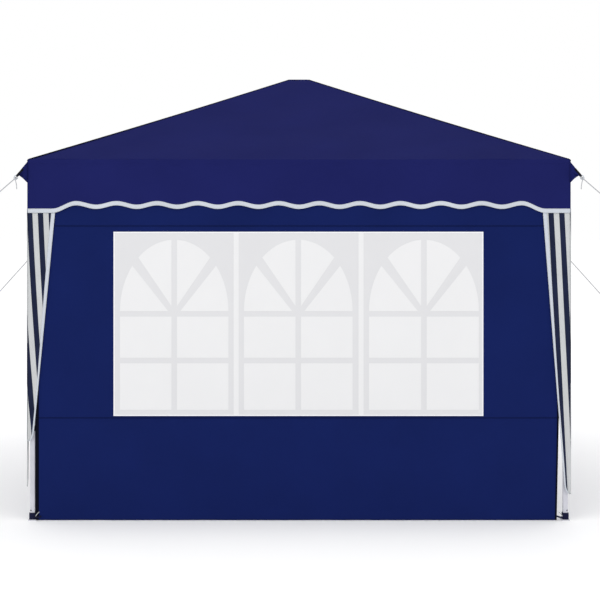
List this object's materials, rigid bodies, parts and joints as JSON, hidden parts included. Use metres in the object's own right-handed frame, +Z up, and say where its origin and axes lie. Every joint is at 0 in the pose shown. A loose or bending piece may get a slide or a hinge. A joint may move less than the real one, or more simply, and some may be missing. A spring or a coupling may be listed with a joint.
{
  "type": "pop up canopy",
  "caption": "Square folding canopy: scissor truss on telescopic legs, pyramid roof with wavy valance, corner leg drapes, windowed front wall and guy ropes",
  "frame": {"origin": "centre of the footprint, on the ground", "axes": "+Z up, the windowed wall faces -Y, +X to its right seen from outside the wall"},
  "size_m": [4.6904, 3.2248, 2.56],
  "materials": {
    "white_tube": "white powder coat, satin",
    "bracket_plastic": "moulded nylon, matt",
    "navy_canopy": "coated woven polyester",
    "navy_wall": "coated woven polyester",
    "white_trim": "woven binding tape",
    "stripe_fabric": "navy and white striped polyester",
    "window_film": "frosted flexible vinyl film",
    "guy_rope": "braided polyester cord",
    "webbing": "woven strap",
    "steel_trim": "zinc plated"
  },
  "bodies": {
    "top_hub": {"top_hub": "bracket_plastic"},
    "front_hub_bar": {"front_hub_bar": "white_tube"},
    "front_low_bar": {"front_low_bar": "white_tube"},
    "front_lower_connector": {"front_lower_connector": "bracket_plastic"},
    "front_first_slider_bar": {"front_first_slider_bar": "white_tube"},
    "front_first_leg_bar": {"front_first_leg_bar": "white_tube"},
    "front_second_slider_bar": {"front_second_slider_bar": "white_tube"},
    "front_second_leg_bar": {"front_second_leg_bar": "white_tube"},
    "front_upper_connector": {"front_upper_connector": "bracket_plastic", "front_wall": "navy_wall"},
    "leg_front_left": {"upper_leg_front_left": "white_tube"},
    "lower_leg_front_left": {"lower_leg_front_left": "white_tube"},
    "slider_front_left": {"slider_front_left": "bracket_plastic"},
    "slider_latch_front_left": {"slider_latch_front_left": "bracket_plastic"},
    "canopy_front": {"canopy_front": "navy_canopy", "guy_rope_front_left": "guy_rope", "guy_rope_front_right": "guy_rope"},
    "right_hub_bar": {"right_hub_bar": "white_tube"},
    "right_low_bar": {"right_low_bar": "white_tube"},
    "right_lower_connector": {"right_lower_connector": "bracket_plastic"},
    "right_first_slider_bar": {"right_first_slider_bar": "white_tube"},
    "right_first_leg_bar": {"right_first_leg_bar": "white_tube"},
    "right_second_slider_bar": {"right_second_slider_bar": "white_tube"},
    "right_second_leg_bar": {"right_second_leg_bar": "white_tube"},
    "right_upper_connector": {"right_upper_connector": "bracket_plastic"},
    "leg_front_right": {"upper_leg_front_right": "white_tube"},
    "lower_leg_front_right": {"lower_leg_front_right": "white_tube"},
    "slider_front_right": {"slider_front_right": "bracket_plastic"},
    "slider_latch_front_right": {"slider_latch_front_right": "bracket_plastic"},
    "canopy_right": {"canopy_right": "navy_canopy"},
    "back_hub_bar": {"back_hub_bar": "white_tube"},
    "back_low_bar": {"back_low_bar": "white_tube"},
    "back_lower_connector": {"back_lower_connector": "bracket_plastic"},
    "back_first_slider_bar": {"back_first_slider_bar": "white_tube"},
    "back_first_leg_bar": {"back_first_leg_bar": "white_tube"},
    "back_second_slider_bar": {"back_second_slider_bar": "white_tube"},
    "back_second_leg_bar": {"back_second_leg_bar": "white_tube"},
    "back_upper_connector": {"back_upper_connector": "bracket_plastic"},
    "leg_back_right": {"upper_leg_back_right": "white_tube"},
    "lower_leg_back_right": {"lower_leg_back_right": "white_tube"},
    "slider_back_right": {"slider_back_right": "bracket_plastic"},
    "slider_latch_back_right": {"slider_latch_back_right": "bracket_plastic"},
    "canopy_back": {"canopy_back": "navy_canopy", "guy_rope_back_left": "guy_rope", "guy_rope_back_right": "guy_rope"},
    "left_hub_bar": {"left_hub_bar": "white_tube"},
    "left_low_bar": {"left_low_bar": "white_tube"},
    "left_lower_connector": {"left_lower_connector": "bracket_plastic"},
    "left_first_slider_bar": {"left_first_slider_bar": "white_tube"},
    "left_first_leg_bar": {"left_first_leg_bar": "white_tube"},
    "left_second_slider_bar": {"left_second_slider_bar": "white_tube"},
    "left_second_leg_bar": {"left_second_leg_bar": "white_tube"},
    "left_upper_connector": {"left_upper_connector": "bracket_plastic"},
    "leg_back_left": {"upper_leg_back_left": "white_tube"},
    "lower_leg_back_left": {"lower_leg_back_left": "white_tube"},
    "slider_back_left": {"slider_back_left": "bracket_plastic"},
    "slider_latch_back_left": {"slider_latch_back_left": "bracket_plastic"},
    "canopy_left": {"canopy_left": "navy_canopy"},
    "lower_hub": {"lower_hub": "bracket_plastic"},
    "peak_pole": {"peak_pole": "white_tube"}
  },
  "joints": [
    {"name": "fold", "type": "hinge", "parent": "top_hub", "child": "front_hub_bar", "pos_m": [0, -0.045, 1.945], "axis": [1, 0, 0], "range_deg": [0, 77], "deforming": ["canopy_front", "canopy_right", "canopy_back", "canopy_left", "front_wall"]},
    {"name": "front_low_bar_cross", "type": "hinge", "parent": "front_hub_bar", "child": "front_low_bar", "pos_m": [0, -0.7375, 1.81039], "axis": [1, 0, 0], "range_deg": [-154, 0]},
    {"name": "front_upper_connector_pivot", "type": "hinge", "parent": "front_low_bar", "child": "front_upper_connector", "pos_m": [0, -1.43, 1.945], "axis": [1, 0, 0], "range_deg": [0, 77]},
    {"name": "front_lower_connector_pivot", "type": "hinge", "parent": "front_hub_bar", "child": "front_lower_connector", "pos_m": [0, -1.43, 1.67578], "axis": [1, 0, 0], "range_deg": [-77, 0]},
    {"name": "front_first_slider_bar_pivot", "type": "hinge", "parent": "front_upper_connector", "child": "front_first_slider_bar", "pos_m": [-0.045, -1.475, 1.945], "axis": [0, -1, 0], "range_deg": [0, 77]},
    {"name": "front_first_cross", "type": "hinge", "parent": "front_first_slider_bar", "child": "front_first_leg_bar", "pos_m": [-0.7375, -1.475, 1.81039], "axis": [0, -1, 0], "range_deg": [-154, 0]},
    {"name": "leg_front_left_pivot", "type": "hinge", "parent": "front_first_leg_bar", "child": "leg_front_left", "pos_m": [-1.43, -1.475, 1.945], "axis": [0, -1, 0], "range_deg": [0, 77]},
    {"name": "slider_front_left_pivot", "type": "hinge", "parent": "front_first_slider_bar", "child": "slider_front_left", "pos_m": [-1.43, -1.475, 1.67578], "axis": [0, -1, 0], "range_deg": [-77, 0]},
    {"name": "front_second_slider_bar_pivot", "type": "hinge", "parent": "front_upper_connector", "child": "front_second_slider_bar", "pos_m": [0.045, -1.475, 1.945], "axis": [0, 1, 0], "range_deg": [0, 77]},
    {"name": "front_second_cross", "type": "hinge", "parent": "front_second_slider_bar", "child": "front_second_leg_bar", "pos_m": [0.7375, -1.475, 1.81039], "axis": [0, 1, 0], "range_deg": [-154, 0]},
    {"name": "lower_leg_front_left_slide", "type": "slide", "parent": "leg_front_left", "child": "lower_leg_front_left", "axis": [0, 0, 1], "range_m": [0, 0.43]},
    {"name": "slider_latch_front_left_pull", "type": "slide", "parent": "slider_front_left", "child": "slider_latch_front_left", "axis": [1, 0, 0], "range_m": [0, 0.005], "stiffness_N_per_m": 600, "springref_m": -0.002},
    {"name": "right_hub_bar_fold", "type": "hinge", "parent": "top_hub", "child": "right_hub_bar", "pos_m": [0.045, 0, 1.945], "axis": [0, 1, 0], "range_deg": [0, 77]},
    {"name": "right_low_bar_cross", "type": "hinge", "parent": "right_hub_bar", "child": "right_low_bar", "pos_m": [0.7375, 0, 1.81039], "axis": [0, 1, 0], "range_deg": [-154, 0]},
    {"name": "right_upper_connector_pivot", "type": "hinge", "parent": "right_low_bar", "child": "right_upper_connector", "pos_m": [1.43, 0, 1.945], "axis": [0, 1, 0], "range_deg": [0, 77]},
    {"name": "right_lower_connector_pivot", "type": "hinge", "parent": "right_hub_bar", "child": "right_lower_connector", "pos_m": [1.43, 0, 1.67578], "axis": [0, 1, 0], "range_deg": [-77, 0]},
    {"name": "right_first_slider_bar_pivot", "type": "hinge", "parent": "right_upper_connector", "child": "right_first_slider_bar", "pos_m": [1.475, -0.045, 1.945], "axis": [1, 0, 0], "range_deg": [0, 77]},
    {"name": "right_first_cross", "type": "hinge", "parent": "right_first_slider_bar", "child": "right_first_leg_bar", "pos_m": [1.475, -0.7375, 1.81039], "axis": [1, 0, 0], "range_deg": [-154, 0]},
    {"name": "leg_front_right_pivot", "type": "hinge", "parent": "right_first_leg_bar", "child": "leg_front_right", "pos_m": [1.475, -1.43, 1.945], "axis": [1, 0, 0], "range_deg": [0, 77]},
    {"name": "slider_front_right_pivot", "type": "hinge", "parent": "right_first_slider_bar", "child": "slider_front_right", "pos_m": [1.475, -1.43, 1.67578], "axis": [1, 0, 0], "range_deg": [-77, 0]},
    {"name": "right_second_slider_bar_pivot", "type": "hinge", "parent": "right_upper_connector", "child": "right_second_slider_bar", "pos_m": [1.475, 0.045, 1.945], "axis": [-1, 0, 0], "range_deg": [0, 77]},
    {"name": "right_second_cross", "type": "hinge", "parent": "right_second_slider_bar", "child": "right_second_leg_bar", "pos_m": [1.475, 0.7375, 1.81039], "axis": [-1, 0, 0], "range_deg": [-154, 0]},
    {"name": "lower_leg_front_right_slide", "type": "slide", "parent": "leg_front_right", "child": "lower_leg_front_right", "axis": [0, 0, 1], "range_m": [0, 0.43]},
    {"name": "slider_latch_front_right_pull", "type": "slide", "parent": "slider_front_right", "child": "slider_latch_front_right", "axis": [0, 1, 0], "range_m": [0, 0.005], "stiffness_N_per_m": 600, "springref_m": -0.002},
    {"name": "back_hub_bar_fold", "type": "hinge", "parent": "top_hub", "child": "back_hub_bar", "pos_m": [0, 0.045, 1.945], "axis": [-1, 0, 0], "range_deg": [0, 77]},
    {"name": "back_low_bar_cross", "type": "hinge", "parent": "back_hub_bar", "child": "back_low_bar", "pos_m": [0, 0.7375, 1.81039], "axis": [-1, 0, 0], "range_deg": [-154, 0]},
    {"name": "back_upper_connector_pivot", "type": "hinge", "parent": "back_low_bar", "child": "back_upper_connector", "pos_m": [0, 1.43, 1.945], "axis": [-1, 0, 0], "range_deg": [0, 77]},
    {"name": "back_lower_connector_pivot", "type": "hinge", "parent": "back_hub_bar", "child": "back_lower_connector", "pos_m": [0, 1.43, 1.67578], "axis": [-1, 0, 0], "range_deg": [-77, 0]},
    {"name": "back_first_slider_bar_pivot", "type": "hinge", "parent": "back_upper_connector", "child": "back_first_slider_bar", "pos_m": [0.045, 1.475, 1.945], "axis": [0, 1, 0], "range_deg": [0, 77]},
    {"name": "back_first_cross", "type": "hinge", "parent": "back_first_slider_bar", "child": "back_first_leg_bar", "pos_m": [0.7375, 1.475, 1.81039], "axis": [0, 1, 0], "range_deg": [-154, 0]},
    {"name": "leg_back_right_pivot", "type": "hinge", "parent": "back_first_leg_bar", "child": "leg_back_right", "pos_m": [1.43, 1.475, 1.945], "axis": [0, 1, 0], "range_deg": [0, 77]},
    {"name": "slider_back_right_pivot", "type": "hinge", "parent": "back_first_slider_bar", "child": "slider_back_right", "pos_m": [1.43, 1.475, 1.67578], "axis": [0, 1, 0], "range_deg": [-77, 0]},
    {"name": "back_second_slider_bar_pivot", "type": "hinge", "parent": "back_upper_connector", "child": "back_second_slider_bar", "pos_m": [-0.045, 1.475, 1.945], "axis": [0, -1, 0], "range_deg": [0, 77]},
    {"name": "back_second_cross", "type": "hinge", "parent": "back_second_slider_bar", "child": "back_second_leg_bar", "pos_m": [-0.7375, 1.475, 1.81039], "axis": [0, -1, 0], "range_deg": [-154, 0]},
    {"name": "lower_leg_back_right_slide", "type": "slide", "parent": "leg_back_right", "child": "lower_leg_back_right", "axis": [0, 0, 1], "range_m": [0, 0.43]},
    {"name": "slider_latch_back_right_pull", "type": "slide", "parent": "slider_back_right", "child": "slider_latch_back_right", "axis": [-1, 0, 0], "range_m": [0, 0.005], "stiffness_N_per_m": 600, "springref_m": -0.002},
    {"name": "left_hub_bar_fold", "type": "hinge", "parent": "top_hub", "child": "left_hub_bar", "pos_m": [-0.045, 0, 1.945], "axis": [0, -1, 0], "range_deg": [0, 77]},
    {"name": "left_low_bar_cross", "type": "hinge", "parent": "left_hub_bar", "child": "left_low_bar", "pos_m": [-0.7375, 0, 1.81039], "axis": [0, -1, 0], "range_deg": [-154, 0]},
    {"name": "left_upper_connector_pivot", "type": "hinge", "parent": "left_low_bar", "child": "left_upper_connector", "pos_m": [-1.43, 0, 1.945], "axis": [0, -1, 0], "range_deg": [0, 77]},
    {"name": "left_lower_connector_pivot", "type": "hinge", "parent": "left_hub_bar", "child": "left_lower_connector", "pos_m": [-1.43, 0, 1.67578], "axis": [0, -1, 0], "range_deg": [-77, 0]},
    {"name": "left_first_slider_bar_pivot", "type": "hinge", "parent": "left_upper_connector", "child": "left_first_slider_bar", "pos_m": [-1.475, 0.045, 1.945], "axis": [-1, 0, 0], "range_deg": [0, 77]},
    {"name": "left_first_cross", "type": "hinge", "parent": "left_first_slider_bar", "child": "left_first_leg_bar", "pos_m": [-1.475, 0.7375, 1.81039], "axis": [-1, 0, 0], "range_deg": [-154, 0]},
    {"name": "leg_back_left_pivot", "type": "hinge", "parent": "left_first_leg_bar", "child": "leg_back_left", "pos_m": [-1.475, 1.43, 1.945], "axis": [-1, 0, 0], "range_deg": [0, 77]},
    {"name": "slider_back_left_pivot", "type": "hinge", "parent": "left_first_slider_bar", "child": "slider_back_left", "pos_m": [-1.475, 1.43, 1.67578], "axis": [-1, 0, 0], "range_deg": [-77, 0]},
    {"name": "left_second_slider_bar_pivot", "type": "hinge", "parent": "left_upper_connector", "child": "left_second_slider_bar", "pos_m": [-1.475, -0.045, 1.945], "axis": [1, 0, 0], "range_deg": [0, 77]},
    {"name": "left_second_cross", "type": "hinge", "parent": "left_second_slider_bar", "child": "left_second_leg_bar", "pos_m": [-1.475, -0.7375, 1.81039], "axis": [1, 0, 0], "range_deg": [-154, 0]},
    {"name": "lower_leg_back_left_slide", "type": "slide", "parent": "leg_back_left", "child": "lower_leg_back_left", "axis": [0, 0, 1], "range_m": [0, 0.43]},
    {"name": "slider_latch_back_left_pull", "type": "slide", "parent": "slider_back_left", "child": "slider_latch_back_left", "axis": [0, -1, 0], "range_m": [0, 0.005], "stiffness_N_per_m": 600, "springref_m": -0.002},
    {"name": "lower_hub_pivot", "type": "hinge", "parent": "front_low_bar", "child": "lower_hub", "pos_m": [0, -0.045, 1.67578], "axis": [1, 0, 0], "range_deg": [0, 77]},
    {"name": "peak_pole_slide", "type": "slide", "parent": "top_hub", "child": "peak_pole", "axis": [0, 0, 1], "range_m": [-0.0505, 0]},
    {"name": "canopy_front_hinge", "type": "hinge", "parent": "peak_pole", "child": "canopy_front", "pos_m": [0, -0.061, 2.558], "axis": [1, 0, 0], "range_deg": [0, 52.98]},
    {"name": "canopy_right_hinge", "type": "hinge", "parent": "peak_pole", "child": "canopy_right", "pos_m": [0.061, 0, 2.558], "axis": [0, 1, 0], "range_deg": [0, 52.98]},
    {"name": "canopy_back_hinge", "type": "hinge", "parent": "peak_pole", "child": "canopy_back", "pos_m": [0, 0.061, 2.558], "axis": [-1, 0, 0], "range_deg": [0, 52.98]},
    {"name": "canopy_left_hinge", "type": "hinge", "parent": "peak_pole", "child": "canopy_left", "pos_m": [-0.061, 0, 2.558], "axis": [0, -1, 0], "range_deg": [0, 52.98]}
  ],
  "couplings": [
    {"joint": "front_low_bar_cross", "follows": "fold", "ratio": -2},
    {"joint": "front_upper_connector_pivot", "follows": "fold", "ratio": 1},
    {"joint": "front_lower_connector_pivot", "follows": "fold", "ratio": -1},
    {"joint": "front_first_slider_bar_pivot", "follows": "fold", "ratio": 1},
    {"joint": "front_first_cross", "follows": "fold", "ratio": -2},
    {"joint": "leg_front_left_pivot", "follows": "fold", "ratio": 1},
    {"joint": "slider_front_left_pivot", "follows": "fold", "ratio": -1},
    {"joint": "front_second_slider_bar_pivot", "follows": "fold", "ratio": 1},
    {"joint": "front_second_cross", "follows": "fold", "ratio": -2},
    {"joint": "right_hub_bar_fold", "follows": "fold", "ratio": 1},
    {"joint": "right_low_bar_cross", "follows": "fold", "ratio": -2},
    {"joint": "right_upper_connector_pivot", "follows": "fold", "ratio": 1},
    {"joint": "right_lower_connector_pivot", "follows": "fold", "ratio": -1},
    {"joint": "right_first_slider_bar_pivot", "follows": "fold", "ratio": 1},
    {"joint": "right_first_cross", "follows": "fold", "ratio": -2},
    {"joint": "leg_front_right_pivot", "follows": "fold", "ratio": 1},
    {"joint": "slider_front_right_pivot", "follows": "fold", "ratio": -1},
    {"joint": "right_second_slider_bar_pivot", "follows": "fold", "ratio": 1},
    {"joint": "right_second_cross", "follows": "fold", "ratio": -2},
    {"joint": "back_hub_bar_fold", "follows": "fold", "ratio": 1},
    {"joint": "back_low_bar_cross", "follows": "fold", "ratio": -2},
    {"joint": "back_upper_connector_pivot", "follows": "fold", "ratio": 1},
    {"joint": "back_lower_connector_pivot", "follows": "fold", "ratio": -1},
    {"joint": "back_first_slider_bar_pivot", "follows": "fold", "ratio": 1},
    {"joint": "back_first_cross", "follows": "fold", "ratio": -2},
    {"joint": "leg_back_right_pivot", "follows": "fold", "ratio": 1},
    {"joint": "slider_back_right_pivot", "follows": "fold", "ratio": -1},
    {"joint": "back_second_slider_bar_pivot", "follows": "fold", "ratio": 1},
    {"joint": "back_second_cross", "follows": "fold", "ratio": -2},
    {"joint": "left_hub_bar_fold", "follows": "fold", "ratio": 1},
    {"joint": "left_low_bar_cross", "follows": "fold", "ratio": -2},
    {"joint": "left_upper_connector_pivot", "follows": "fold", "ratio": 1},
    {"joint": "left_lower_connector_pivot", "follows": "fold", "ratio": -1},
    {"joint": "left_first_slider_bar_pivot", "follows": "fold", "ratio": 1},
    {"joint": "left_first_cross", "follows": "fold", "ratio": -2},
    {"joint": "leg_back_left_pivot", "follows": "fold", "ratio": 1},
    {"joint": "slider_back_left_pivot", "follows": "fold", "ratio": -1},
    {"joint": "left_second_slider_bar_pivot", "follows": "fold", "ratio": 1},
    {"joint": "left_second_cross", "follows": "fold", "ratio": -2},
    {"joint": "lower_hub_pivot", "follows": "fold", "ratio": 1},
    {"joint": "peak_pole_slide", "follows": "fold", "m_per_rad": -0.037205},
    {"joint": "canopy_front_hinge", "follows": "fold", "ratio": 0.688},
    {"joint": "canopy_right_hinge", "follows": "fold", "ratio": 0.688},
    {"joint": "canopy_back_hinge", "follows": "fold", "ratio": 0.688},
    {"joint": "canopy_left_hinge", "follows": "fold", "ratio": 0.688}
  ]
}
